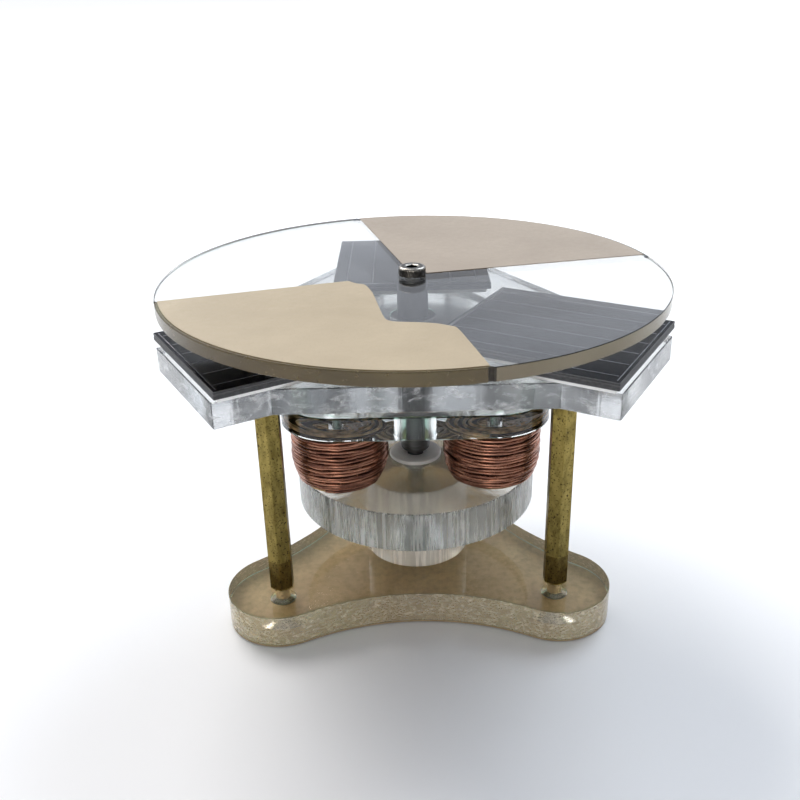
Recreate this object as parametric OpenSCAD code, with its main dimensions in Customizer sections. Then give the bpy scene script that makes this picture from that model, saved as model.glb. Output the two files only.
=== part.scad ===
// Demonstration electric motor with a shutter disc that switches three coils by light.
// Two opaque and two clear sectors pass over three solar cells. Each cell feeds the coil
// below it, and a four-pole magnet rotor on the same shaft turns above the coils.
// Millimetres, +Z up. The origin is on the table, under the rotor axis.
// The third arm, coil and standoff point along +Y; the others stand at 210 and 330 degrees.

/* [Base] */
// Height of the base plate's top face above the table, with its paper
base_t = 8.6; // [6:0.1:12]
// Thickness of the masking paper left under the base plate
paper_t = 0.4; // [0.3:0.1:0.6]
// Radius of the three rounded lobes of the base plate
lobe_r = 13.5; // [11:0.5:15]
// Radius of the hollow arc at the front of the base plate
hollow_r = 58; // [50:1:70]
// Radius of the two shallower arcs beside the rear lobe
side_hollow_r = 74; // [65:1:100]
// Diameter of the plain screw holes in the base plate
base_hole_d = 3.8; // [3.4:0.1:4.2]

/* [Standoffs] */
// Distance of the standoffs from the rotor axis
standoff_r = 39.5; // [38.5:0.1:41]
// Width of the brass hexagon across its flats
standoff_af = 5.5; // [5:0.1:6.5]
// Outer diameter of the standoff screws' threads
standoff_screw_d = 3; // [2.5:0.1:3.2]

/* [Stator] */
// Diameter of the clear boss between the base plate and the stator disc
boss_d = 26.6; // [20:0.1:30]
// Height of the boss
boss_h = 16; // [8:0.5:25]
// Diameter of the thick stator disc that carries the coils
stator_d = 60.6; // [56:0.1:64]
// Thickness of the stator disc
stator_t = 10; // [9:0.5:14]
// Diameter of the lower bearing's flange
flange_d = 13.2; // [10:0.1:14]

/* [Coils] */
// Distance of the coil axes from the rotor axis
coil_r = 21.4; // [20.5:0.1:21.6]
// Outer diameter of each winding
coil_od = 23.9; // [22:0.1:25]
// Height of each winding
coil_h = 16; // [12:0.5:20]
// Diameter of the tube that each coil is wound on
core_d = 8; // [6:0.5:10]
// Thickness of the clear plate on top of the coils
top_t = 6; // [4:0.5:8]
// Corner radius of that plate and of the rotor chamber
top_corner_r = 13.7; // [13:0.1:14.5]

/* [Carrier and cells] */
// Thickness of the clear carrier plate
carrier_t = 6; // [5:0.5:8]
// Width of the carrier's three arms
arm_w = 37; // [36:0.1:42]
// Distance of the arm ends from the rotor axis
arm_out = 58.1; // [55:0.1:62]
// Distance of the carrier's three straight body edges from the rotor axis
body_flat = 38.6; // [37:0.1:41]
// Distance of the solar cells' inner edges from the rotor axis
cell_in = 14.4; // [13:0.1:17]
// Length of each solar cell along its arm
cell_l = 43.5; // [40:0.1:45]
// Width of each solar cell
cell_w = 40.5; // [36:0.1:42]
// Thickness of each solar cell
cell_t = 1.8; // [1.5:0.1:3]
// Thickness of the white foam tape under each cell
foam_t = 1.2; // [0.5:0.1:2]

/* [Shutter disc] */
// Diameter of the shutter disc
disc_d = 120; // [112:1:130]
// Thickness of the shutter disc
disc_t = 3; // [2:0.5:4]
// Gap between the cells and the shutter disc
disc_gap = 6; // [3:0.1:9]
// Angle of the first sector edge at rest
sector_turn = 12; // [0:0.5:40]
// Thickness of the opaque film
film_t = 0.15; // [0.1:0.05:0.3]
// Diameter of the screw head on the hub
hub_head_d = 6.5; // [6:0.1:8]

/* [Rotor] */
// Diameter of the shaft
shaft_d = 7.4; // [6:0.1:8]
// Diameter of the shaft's lower journal
journal_d = 4; // [3:0.1:4.5]
// Radial running clearance in the two bearings
run_gap = 0.03; // [0.02:0.01:0.06]
// Height of the chamber that the magnet rotor turns in
chamber_h = 8; // [7.5:0.5:10]
// Diameter of the rotor plate
rotor_d = 39; // [38:0.5:40]
// Diameter of the four magnets
magnet_d = 12; // [8:0.5:12]
// Thickness of the four magnets
magnet_t = 3; // [2:0.5:3]

/* [Hidden] */
$fn = 96;

// Directions of the three arms
LEFT = 210;
RIGHT = 330;
REAR = 90;
ARMS = [LEFT, RIGHT, REAR];

// Heights of the stack, from the table up
z_boss = base_t;
z_stator = z_boss + boss_h;
z_coil = z_stator + stator_t;
z_top = z_coil + coil_h;
z_chamber = z_top + top_t;
z_carrier = z_chamber + chamber_h;
z_foam = z_carrier + carrier_t;
z_cell = z_foam + foam_t;
z_disc = z_cell + cell_t + disc_gap;
z_film = z_disc + disc_t;

// Small gap between pieces that are screwed or pressed together on one body
seat = 0.02;
screw_r = standoff_screw_d / 2;
thread_r = screw_r + seat;
core_screw_r = 1.5;
center_screw_r = 2;
hub_screw_r = 2;
// Drop of the bearing pocket below the stator disc's top face
pocket_h = 6;
flange_t = 1;
// Clear air above the lower bearing's flange, before the shaft's shoulder
shoulder_z = z_coil + flange_t + 1;
// Magnet rotor: magnets one millimetre above the coil plate, steel plate on top of them
z_magnet = z_chamber + 1;
z_plate = z_magnet + magnet_t;
plate_t = 2;
magnet_r = rotor_d / 2 - magnet_d / 2 - 0.3;
chamber_r = rotor_d / 2 + 1.5;
upper_r = shaft_d / 2 + 1.8;
// The hub screw's thread in the shaft's upper end
hub_thread_l = 12;
// The four sector edges, counted from the first one: the films are cut by hand
EDGES = [0, 92.3, 184, 271];
// Places of the two leads of each coil, as angles about the coil's own axis
LEAD_TURNS = [75, 60];
lead_r = 0.4;
lead_hole_r = 0.8;
// Side of each coil that its leads leave from: the side turned away from the front
function lead_side(a) = a == LEFT ? -1 : 1;

// A point given along and across the arm that points in direction a
function arm_pt(a, r, t) = [r * cos(a) - t * sin(a), r * sin(a) + t * cos(a)];

// Base outline: three lobe arcs joined by three hollow arcs that meet them tangentially.
// far_of is how far out an arc's centre lies, half_of is half the angle that the arc spans.
function far_of(r) = standoff_r * 0.5 + sqrt(pow(r + lobe_r, 2) - pow(standoff_r * sin(60), 2));
function half_of(r) = atan2(standoff_r * sin(60), far_of(r) - standoff_r * 0.5);
// Radius of the arc that follows the lobe in direction a, anticlockwise
function hollow_of(a) = a == LEFT ? hollow_r : side_hollow_r;
function before(a) = a == REAR ? RIGHT : a == LEFT ? REAR : LEFT;
BASE_STEPS = 16;
base_outline = [for (a = [REAR, LEFT, RIGHT])
    let (r = hollow_of(a), h1 = half_of(r), h0 = half_of(hollow_of(before(a))), far = far_of(r))
    each concat(
        [for (i = [0 : BASE_STEPS * 2])
            let (q = -(60 + h0) + (120 + h0 + h1) * i / (BASE_STEPS * 2))
            [standoff_r * cos(a) + lobe_r * cos(a + q), standoff_r * sin(a) + lobe_r * sin(a + q)]],
        [for (i = [1 : BASE_STEPS - 1])
            let (q = h1 - 2 * h1 * i / BASE_STEPS)
            [far * cos(a + 60) - r * cos(a + 60 + q), far * sin(a + 60) - r * sin(a + 60 + q)]])];

// Outline of the coil plate and of the rotor chamber: a triangle with wide round corners
TOP_STEPS = 24;
top_outline = [for (a = [REAR, LEFT, RIGHT]) for (i = [0 : TOP_STEPS])
    let (q = -60 + 120 * i / TOP_STEPS)
    [coil_r * cos(a) + top_corner_r * cos(a + q), coil_r * sin(a) + top_corner_r * sin(a + q)]];

// Outline of the carrier: three square-ended arms on a body with three straight edges
arm_root = (body_flat - arm_w / 2 * sin(60)) / 0.5;
carrier_outline = [for (a = [REAR, LEFT, RIGHT]) for (p = [
    [arm_root, -arm_w / 2], [arm_out, -arm_w / 2], [arm_out, arm_w / 2], [arm_root, arm_w / 2]])
    arm_pt(a, p[0], p[1])];

// Countersunk screw along +Z, head at the bottom, with a hexagon socket
module countersunk(r, head_r, length, socket_af) {
    difference() {
        union() {
            cylinder(h = head_r - r, r1 = head_r, r2 = r);
            cylinder(h = length, r = r);
        }
        translate([0, 0, -0.01]) cylinder(h = 1.1, r = socket_af / 2 / cos(30), $fn = 6);
    }
}

// Hole for such a screw, with the same cone a little wider
module countersunk_hole(r, head_r, length) {
    translate([0, 0, -0.5]) cylinder(h = length + 1, r = r);
    translate([0, 0, -0.01]) cylinder(h = head_r - r + 0.01, r1 = head_r + 0.01, r2 = r);
}

module at_arms(r) {
    for (a = ARMS) rotate([0, 0, a]) translate([r, 0, 0]) children();
}

// The holes that the leads run through
module lead_holes(z, h) {
    for (a = ARMS) for (q = LEAD_TURNS)
        rotate([0, 0, a]) translate([coil_r, 0, z])
            rotate([0, 0, q * lead_side(a)]) translate([coil_od / 2 - 1.3, 0, 0])
                cylinder(h = h, r = lead_hole_r, $fn = 24);
}

// ---- stand ----

module base_paper() {
    color("burlywood") difference() {
        linear_extrude(paper_t) polygon(base_outline);
        at_arms(standoff_r) translate([0, 0, -1]) cylinder(h = paper_t + 2, r = 3.5);
        translate([0, 0, -1]) cylinder(h = paper_t + 2, r = 4.4);
    }
}

module base_plate() {
    color("lightcyan", 0.4) difference() {
        translate([0, 0, paper_t]) linear_extrude(base_t - paper_t) polygon(base_outline);
        at_arms(standoff_r) translate([0, 0, paper_t])
            countersunk_hole(base_hole_d / 2, 3.3, base_t);
        translate([0, 0, paper_t]) countersunk_hole(2.2, 4.1, base_t);
    }
}

module base_screws() {
    color("silver") at_arms(standoff_r) translate([0, 0, paper_t])
        countersunk(screw_r, 3.1, base_t + 6, 2);
}

// Brass hexagon pillar with a tapped hole in each end
module standoff(a) {
    color("darkgoldenrod") rotate([0, 0, a]) translate([standoff_r, 0, z_boss]) difference() {
        cylinder(h = z_carrier - z_boss, r = standoff_af / 2 / cos(30), $fn = 6);
        translate([0, 0, -1]) cylinder(h = 10, r = thread_r);
        translate([0, 0, z_carrier - z_boss - 9]) cylinder(h = 10, r = thread_r);
    }
}
module standoff_left() { standoff(LEFT); }
module standoff_right() { standoff(RIGHT); }
module standoff_rear() { standoff(REAR); }

module boss_spacer() {
    color("lightcyan", 0.4) translate([0, 0, z_boss]) difference() {
        cylinder(h = boss_h, d = boss_d);
        translate([0, 0, -1]) cylinder(h = boss_h + 2, r = 2.2);
    }
}

module center_screw() {
    color("silver") translate([0, 0, paper_t])
        countersunk(center_screw_r, 4, z_stator + 2.6 - paper_t, 2.5);
}

module stator_disc() {
    color("lightcyan", 0.4) difference() {
        translate([0, 0, z_stator]) cylinder(h = stator_t, d = stator_d);
        translate([0, 0, z_stator - 1]) cylinder(h = 4, r = center_screw_r + seat);
        translate([0, 0, z_coil - pocket_h]) cylinder(h = pocket_h + 1, r = 3.75 + seat);
        at_arms(coil_r) translate([0, 0, z_coil - 6.5])
            cylinder(h = 7.5, r = core_screw_r + seat);
    }
}

// White flanged bush, closed at its lower end so that the shaft stands in it
module lower_bearing() {
    color("whitesmoke") translate([0, 0, z_coil]) difference() {
        union() {
            cylinder(h = flange_t, d = flange_d);
            translate([0, 0, -pocket_h]) cylinder(h = pocket_h + 0.5, r = 3.75);
        }
        translate([0, 0, -pocket_h + 1.2])
            cylinder(h = pocket_h + flange_t, r = journal_d / 2 + run_gap);
    }
}

// Tube that the coil is wound on, clamped by its core screw
module coil_core(a) {
    color("gainsboro") rotate([0, 0, a]) translate([coil_r, 0, z_coil]) difference() {
        cylinder(h = coil_h, d = core_d);
        translate([0, 0, -1]) cylinder(h = coil_h + 2, r = core_screw_r + 0.1);
    }
}
module coil_core_left() { coil_core(LEFT); }
module coil_core_right() { coil_core(RIGHT); }
module coil_core_rear() { coil_core(REAR); }

// The whole winding as one ring of copper
module coil(a) {
    color("sienna") rotate([0, 0, a]) translate([coil_r, 0, z_coil]) difference() {
        cylinder(h = coil_h, d = coil_od);
        translate([0, 0, -1]) cylinder(h = coil_h + 2, r = core_d / 2 + seat);
    }
}
module coil_left() { coil(LEFT); }
module coil_right() { coil(RIGHT); }
module coil_rear() { coil(REAR); }

module core_screws() {
    color("silver") at_arms(coil_r) translate([0, 0, z_chamber]) mirror([0, 0, 1])
        countersunk(core_screw_r, 3, top_t + coil_h + 6, 2);
}

module coil_top_plate() {
    color("lightcyan", 0.4) difference() {
        translate([0, 0, z_top]) linear_extrude(top_t) polygon(top_outline);
        translate([0, 0, z_top - 1]) cylinder(h = top_t + 2, r = shaft_d / 2 + 1.5);
        at_arms(coil_r) translate([0, 0, z_chamber]) mirror([0, 0, 1])
            countersunk_hole(core_screw_r + 0.1, 3.1, top_t);
        lead_holes(z_top - 1, top_t + 2);
    }
}

// Clear wall round the magnet rotor, between the coil plate and the carrier
module magnet_chamber() {
    color("lightcyan", 0.4) difference() {
        translate([0, 0, z_chamber]) linear_extrude(chamber_h) polygon(top_outline);
        translate([0, 0, z_chamber - 1]) cylinder(h = chamber_h + 2, r = chamber_r);
        lead_holes(z_chamber - 1, chamber_h + 2);
    }
}

module carrier_plate() {
    color("lightcyan", 0.4) difference() {
        translate([0, 0, z_carrier]) linear_extrude(carrier_t) polygon(carrier_outline);
        translate([0, 0, z_carrier - 1]) cylinder(h = carrier_t + 2, r = upper_r + seat);
        at_arms(standoff_r) translate([0, 0, z_foam]) mirror([0, 0, 1])
            countersunk_hole(screw_r + 0.1, 3.1, carrier_t);
        lead_holes(z_carrier - 1, carrier_t + 2);
    }
}

// Dark bush in the middle of the carrier, with a thin flange in the chamber
module upper_bearing() {
    color("#202124") difference() {
        union() {
            translate([0, 0, z_carrier]) cylinder(h = carrier_t, r = upper_r);
            translate([0, 0, z_carrier - 0.8]) cylinder(h = 0.8, r = upper_r + 1);
        }
        translate([0, 0, z_carrier - 2]) cylinder(h = carrier_t + 4, r = shaft_d / 2 + run_gap);
    }
}

module carrier_screws() {
    color("silver") at_arms(standoff_r) translate([0, 0, z_foam]) mirror([0, 0, 1])
        countersunk(screw_r, 3, carrier_t + 6, 2);
}

// White foam tape, a little smaller than the cells, open where the leads pass
module foam_pads() {
    color("white") difference() {
        for (a = ARMS) rotate([0, 0, a])
            translate([cell_in + 1, -cell_w / 2 + 1, z_foam])
                cube([cell_l - 2, cell_w - 2, foam_t]);
        lead_holes(z_foam - 1, foam_t + 2);
    }
}

module solar_cell(a) {
    color("#101216") rotate([0, 0, a]) translate([cell_in, -cell_w / 2, z_cell])
        cube([cell_l, cell_w, cell_t]);
}
module solar_cell_left() { solar_cell(LEFT); }
module solar_cell_right() { solar_cell(RIGHT); }
module solar_cell_rear() { solar_cell(REAR); }

// Two leads for each coil, straight up from the winding to the cell above it
module cell_leads() {
    color("sienna") for (a = ARMS) for (q = LEAD_TURNS)
        rotate([0, 0, a]) translate([coil_r, 0, z_top])
            rotate([0, 0, q * lead_side(a)]) translate([coil_od / 2 - 1.3, 0, 0])
                cylinder(h = z_cell - z_top, r = lead_r, $fn = 24);
}

// ---- rotor ----

// Clear disc with a small notch in its rim at each sector edge
module shutter_disc() {
    color("azure", 0.4) difference() {
        translate([0, 0, z_disc]) cylinder(h = disc_t, d = disc_d, $fn = 180);
        translate([0, 0, z_disc - 1]) cylinder(h = disc_t + 2, r = hub_screw_r + 0.1);
        for (e = EDGES) rotate([0, 0, sector_turn + e])
            translate([disc_d / 2 + 0.2, 0, z_disc - 1]) cylinder(h = disc_t + 2, r = 0.6, $fn = 24);
    }
}

// Sector of film from edge e0 to edge e1, about a quarter of the disc
module film_sector(e0, e1) {
    a0 = sector_turn + e0;
    a1 = sector_turn + e1;
    am = (a0 + a1) / 2;
    intersection() {
        translate([0, 0, z_film]) difference() {
            cylinder(h = film_t, r = disc_d / 2 - 0.8, $fn = 180);
            translate([0, 0, -1]) cylinder(h = film_t + 2, r = hub_head_d / 2 + 0.2);
        }
        translate([0, 0, z_film - 1]) linear_extrude(film_t + 2) polygon([[0, 0],
            for (a = [a0, am, a1]) [disc_d * cos(a), disc_d * sin(a)]]);
    }
}

module shutter_film_rear() {
    color("#cfc3ab") film_sector(EDGES[0], EDGES[1]);
}

// The front film is cut away beside the hub, where the clear disc shows
film_cut = [[6, 5.4], [-16, 5.4], [-14.5, -4], [-13, -6.4], [-11.2, -7.3], [-10, -10.2],
    [-8.9, -14.6], [-7.4, -23.8], [-6.5, -29], [-5.7, -31.8], [-3.9, -33.1], [0.4, -33.8],
    [4.3, -34.7], [9.7, -38], [20, -42.2]];
module shutter_film_front() {
    color("#d6c6a4") difference() {
        film_sector(EDGES[2], EDGES[3]);
        translate([0, 0, z_film - 1]) linear_extrude(film_t + 2) polygon(film_cut);
    }
}

// Low socket head screw that clamps the disc on the shaft's end
module hub_screw() {
    color("dimgray") difference() {
        union() {
            translate([0, 0, z_film]) cylinder(h = 1.8, d = hub_head_d);
            translate([0, 0, z_film + 1.8])
                cylinder(h = 0.4, r1 = hub_head_d / 2, r2 = hub_head_d / 2 - 0.4);
            translate([0, 0, z_disc - hub_thread_l])
                cylinder(h = z_film - z_disc + hub_thread_l + 0.5, r = hub_screw_r);
        }
        translate([0, 0, z_film + 0.9]) cylinder(h = 3, r = 1.3 / cos(30), $fn = 6);
    }
}

// Steel shaft with a thin lower journal and a tapped upper end that carries the disc
module shaft() {
    color("slategray") difference() {
        union() {
            translate([0, 0, z_coil - pocket_h + 1.3])
                cylinder(h = shoulder_z - (z_coil - pocket_h + 1.3) + 1, d = journal_d);
            translate([0, 0, shoulder_z]) cylinder(h = 0.8, d1 = shaft_d - 1.6, d2 = shaft_d);
            translate([0, 0, shoulder_z + 0.8])
                cylinder(h = z_disc - shoulder_z - 0.8, d = shaft_d);
        }
        translate([0, 0, z_disc - hub_thread_l - 1])
            cylinder(h = hub_thread_l + 2, r = hub_screw_r + seat);
    }
}

// Steel plate that closes the magnets' flux, pressed on the shaft
module rotor_plate() {
    color("silver") difference() {
        translate([0, 0, z_plate]) cylinder(h = plate_t, d = rotor_d);
        translate([0, 0, z_plate - 1]) cylinder(h = plate_t + 2, r = shaft_d / 2 + seat);
    }
}

module rotor_collar() {
    color("goldenrod") difference() {
        translate([0, 0, z_magnet]) cylinder(h = magnet_t, r = shaft_d / 2 + 2.8);
        translate([0, 0, z_magnet - 1]) cylinder(h = magnet_t + 2, r = shaft_d / 2 + seat);
        translate([0, 0, z_magnet + magnet_t / 2]) rotate([0, 90, 0])
            cylinder(h = 20, r = 0.8 + seat, $fn = 24);
    }
}

module rotor_set_screw() {
    color("dimgray") translate([shaft_d / 2 + 0.05, 0, z_magnet + magnet_t / 2])
        rotate([0, 90, 0]) difference() {
            cylinder(h = 2.6, r = 0.8, $fn = 24);
            translate([0, 0, 1.8]) cylinder(h = 2, r = 0.45, $fn = 6);
        }
}

// Four magnets, their poles up and down by turns
module rotor_magnets() {
    color("lightgray") for (i = [0 : 3]) rotate([0, 0, 45 + 90 * i])
        translate([magnet_r, 0, z_magnet]) cylinder(h = magnet_t, d = magnet_d);
}

base_paper();
base_plate();
base_screws();
standoff_left();
standoff_right();
standoff_rear();
boss_spacer();
center_screw();
stator_disc();
lower_bearing();
coil_core_left();
coil_core_right();
coil_core_rear();
coil_left();
coil_right();
coil_rear();
core_screws();
coil_top_plate();
magnet_chamber();
carrier_plate();
upper_bearing();
carrier_screws();
foam_pads();
solar_cell_left();
solar_cell_right();
solar_cell_rear();
cell_leads();
shutter_disc();
shutter_film_front();
shutter_film_rear();
hub_screw();
shaft();
rotor_plate();
rotor_collar();
rotor_set_screw();
rotor_magnets();
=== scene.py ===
import math

import bmesh
import bpy
import numpy as np
from mathutils import Matrix, Vector
from mathutils.geometry import delaunay_2d_cdt, tessellate_polygon

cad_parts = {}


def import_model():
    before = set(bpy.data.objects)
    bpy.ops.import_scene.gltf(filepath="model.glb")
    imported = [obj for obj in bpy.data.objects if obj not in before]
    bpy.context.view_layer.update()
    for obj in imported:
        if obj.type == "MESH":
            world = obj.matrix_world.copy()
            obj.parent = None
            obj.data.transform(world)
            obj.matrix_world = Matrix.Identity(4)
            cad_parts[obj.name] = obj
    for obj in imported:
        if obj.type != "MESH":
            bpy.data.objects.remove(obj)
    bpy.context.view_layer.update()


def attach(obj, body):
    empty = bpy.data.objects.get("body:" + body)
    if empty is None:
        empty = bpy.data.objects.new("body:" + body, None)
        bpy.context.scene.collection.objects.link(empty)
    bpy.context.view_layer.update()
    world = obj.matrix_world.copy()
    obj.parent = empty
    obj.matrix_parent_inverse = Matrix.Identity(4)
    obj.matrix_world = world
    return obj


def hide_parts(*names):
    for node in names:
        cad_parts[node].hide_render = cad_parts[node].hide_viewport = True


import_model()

MM = 0.001
LEFT, RIGHT, REAR = 210.0, 330.0, 90.0
ARMS = {"left": LEFT, "right": RIGHT, "rear": REAR}


def pol(r, deg):
    return (r * math.cos(math.radians(deg)), r * math.sin(math.radians(deg)))


def arm_pt(a, r, t):
    c, s = math.cos(math.radians(a)), math.sin(math.radians(a))
    return (r * c - t * s, r * s + t * c)


def wave(seed, n, scale=1.0):
    """A smooth periodic wobble: a sum of sines with fixed phases, between about -1 and 1."""
    rng = np.random.default_rng(seed)
    phase, gain = rng.uniform(0, 6.283, n), rng.uniform(0.4, 1.0, n)
    freq = np.arange(1, n + 1) * scale + rng.uniform(-0.3, 0.3, n) * scale
    gain = gain / gain.sum()
    return lambda t: np.sum(gain[:, None] * np.sin(freq[:, None] * np.atleast_1d(t)[None, :] + phase[:, None]), axis=0)


# ------------------------------------------------------------------ mesh tools


class Build:
    """Collects points in millimetres and faces with a material number each."""

    def __init__(self):
        self.v, self.f, self.m = [], [], []
        self.move = lambda x, y, z: (x, y, z)

    def add(self, pts):
        i = len(self.v)
        self.v += [self.move(*p) for p in pts]
        return list(range(i, len(self.v)))

    def face(self, idx, mat=0):
        self.f.append(tuple(idx))
        self.m.append(mat)

    def ring(self, cx, cy, z, r, n, phase=0.0):
        return self.add([(cx + r * math.cos(phase + 2 * math.pi * i / n), cy + r * math.sin(phase + 2 * math.pi * i / n), z) for i in range(n)])

    def bridge(self, a, b, mat=0):
        n = len(a)
        for i in range(n):
            j = (i + 1) % n
            self.face((a[i], a[j], b[j], b[i]), mat)

    def fan(self, ring, mat=0):
        c = np.mean([self.v[i] for i in ring], axis=0)
        self.v.append(tuple(c))
        k = len(self.v) - 1
        for i in range(len(ring)):
            self.face((ring[i], ring[(i + 1) % len(ring)], k), mat)

    def cap(self, loops, mat=0):
        """Fills the area inside the first loop and outside the others, which lie in one level plane."""
        pts = [[Vector((self.v[i][0], self.v[i][1], 0)) for i in loop] for loop in loops]
        flat = [i for loop in loops for i in loop]
        for tri in tessellate_polygon(pts):
            self.face([flat[i] for i in tri], mat)

    def lathe(self, profile, cx=0.0, cy=0.0, n=96, closed=False, mats=None, ripple=None):
        """profile is [(r, z), ...]. A radius of 0 is a pole. ripple(k, angle) changes the radius of row k."""
        rows = []
        for k, (r, z) in enumerate(profile):
            if r < 1e-6:
                rows.append(self.add([(cx, cy, z)]))
            else:
                pts = []
                for i in range(n):
                    a = 2 * math.pi * i / n
                    q = r + (ripple(k, a) if ripple else 0.0)
                    pts.append((cx + q * math.cos(a), cy + q * math.sin(a), z))
                rows.append(self.add(pts))
        steps = len(rows) if closed else len(rows) - 1
        for k in range(steps):
            a, b = rows[k], rows[(k + 1) % len(rows)]
            m = mats[k] if mats else 0
            if len(a) == 1 and len(b) == 1:
                continue
            if len(a) == 1 or len(b) == 1:
                ring, pole = (b, a[0]) if len(a) == 1 else (a, b[0])
                for i in range(n):
                    self.face((ring[i], ring[(i + 1) % n], pole), m)
            else:
                self.bridge(a, b, m)
        return rows

    def tube(self, pts, radius, sides=8, mat=0, close_ends=True):
        """A round wire along pts, which is an (n, 3) array in millimetres."""
        p = np.asarray(pts, float)
        t = np.gradient(p, axis=0)
        t /= np.linalg.norm(t, axis=1)[:, None]
        up = np.array([0.0, 0.0, 1.0])
        if abs(t[0] @ up) > 0.9:
            up = np.array([1.0, 0.0, 0.0])
        nrm = np.zeros_like(p)
        u = up - (up @ t[0]) * t[0]
        nrm[0] = u / np.linalg.norm(u)
        for i in range(1, len(p)):
            u = nrm[i - 1] - (nrm[i - 1] @ t[i]) * t[i]
            nrm[i] = u / np.linalg.norm(u)
        b = np.cross(t, nrm)
        a = np.arange(sides) * 2 * math.pi / sides
        rr = radius if np.ndim(radius) else np.full(len(p), radius)
        ring = p[:, None, :] + rr[:, None, None] * (np.cos(a)[None, :, None] * nrm[:, None, :] + np.sin(a)[None, :, None] * b[:, None, :])
        base = len(self.v)
        self.v += [self.move(*q) for q in ring.reshape(-1, 3)]
        for i in range(len(p) - 1):
            for k in range(sides):
                j = (k + 1) % sides
                self.f.append((base + i * sides + k, base + i * sides + j, base + (i + 1) * sides + j, base + (i + 1) * sides + k))
                self.m.append(mat)
        if close_ends:
            self.fan(list(range(base, base + sides)), mat)
            self.fan(list(range(base + (len(p) - 1) * sides, base + len(p) * sides)), mat)

    def make(self, name, mats, body, replaces=(), angle=28.0, recalc=True):
        me = bpy.data.meshes.new(name)
        me.from_pydata([(x * MM, y * MM, z * MM) for x, y, z in self.v], [], self.f)
        for m in mats:
            me.materials.append(m)
        me.polygons.foreach_set("material_index", np.array(self.m, np.int32))
        if recalc:
            bm = bmesh.new()
            bm.from_mesh(me)
            bmesh.ops.remove_doubles(bm, verts=bm.verts, dist=1e-7)
            bmesh.ops.recalc_face_normals(bm, faces=bm.faces)
            bm.to_mesh(me)
            bm.free()
        me.shade_smooth()
        me.set_sharp_from_angle(angle=math.radians(angle))
        me.update()
        o = bpy.data.objects.new(name, me)
        bpy.context.scene.collection.objects.link(o)
        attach(o, body)
        if replaces:
            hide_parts(*replaces)
        return o


def inset(pts, d):
    """The outline moved inwards by d; pts run anticlockwise."""
    p = np.array(pts, float)
    e0, e1 = p - np.roll(p, 1, 0), np.roll(p, -1, 0) - p
    n0 = np.stack([-e0[:, 1], e0[:, 0]], 1) / np.linalg.norm(e0, axis=1)[:, None]
    n1 = np.stack([-e1[:, 1], e1[:, 0]], 1) / np.linalg.norm(e1, axis=1)[:, None]
    m = n0 + n1
    m /= np.linalg.norm(m, axis=1)[:, None]
    k = np.clip(np.sum(m * n0, 1), 0.4, 1.0)
    return [tuple(q) for q in p + m * (d / k)[:, None]]


def rounded(pts, r, n=5):
    """The outline with each corner rounded by r."""
    out = []
    p = [np.array(q, float) for q in pts]
    for i in range(len(p)):
        a, b, c = p[i - 1], p[i], p[(i + 1) % len(p)]
        u, w = (a - b) / np.linalg.norm(a - b), (c - b) / np.linalg.norm(c - b)
        half = math.acos(np.clip(u @ w, -1, 1)) / 2
        cut = r / math.tan(half)
        start, end = b + u * cut, b + w * cut
        for k in range(n + 1):
            t = k / n
            out.append(tuple((1 - t) ** 2 * start + 2 * t * (1 - t) * b + t**2 * end))
    return out


def solid(B, outline, z0, z1, ch, holes=(), top=0, side=0, bottom=0, edge=0, hole_mat=0, n=48):
    """A level plate with chamfered rims. holes are (x, y, [(r, z), ...] from top to bottom, kind); kind is through, top or bottom, where a blind hole opens."""
    small = inset(outline, ch)
    rings = [B.add([(x, y, z) for x, y in o]) for o, z in ((small, z1), (outline, z1 - ch), (outline, z0 + ch), (small, z0))]
    for k, m in ((0, edge), (1, side), (2, edge)):
        B.bridge(rings[k], rings[k + 1], m)
    tops, bottoms = [rings[0]], [rings[3]]
    for cx, cy, prof, kind in holes:
        rows = [B.ring(cx, cy, z, r, n) for r, z in prof]
        for k in range(len(rows) - 1):
            B.bridge(rows[k], rows[k + 1], hole_mat)
        if kind in ("through", "top"):
            tops.append(rows[0])
        if kind in ("through", "bottom"):
            bottoms.append(rows[-1])
        if kind == "top":
            B.fan(rows[-1], hole_mat)
        if kind == "bottom":
            B.fan(rows[0], hole_mat)
    B.cap(tops, top)
    B.cap(bottoms, bottom)


def thread(B, z_top, z_end, r, pitch, mat, n=28):
    """A threaded rod along local Z, closed at both ends."""
    depth, step = 0.55 * pitch, pitch / 6
    m = max(6, int(round((z_top - z_end) / step)))
    rows = []
    for j in range(m + 1):
        z = z_top - (z_top - z_end) * j / m
        run = min(1.0, (z - z_end) / 0.5)
        pts = []
        for i in range(n):
            a = 2 * math.pi * i / n
            ph = (z / pitch + i / n) % 1.0
            tri = abs(2 * ph - 1)
            q = r - depth * tri * 0.9
            q = min(q, r - 0.35 * (1 - run))
            pts.append((q * math.cos(a), q * math.sin(a), z))
        rows.append(B.add(pts))
    for j in range(m):
        B.bridge(rows[j], rows[j + 1], mat)
    B.fan(rows[0], mat)
    B.fan(rows[-1], mat)


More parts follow.
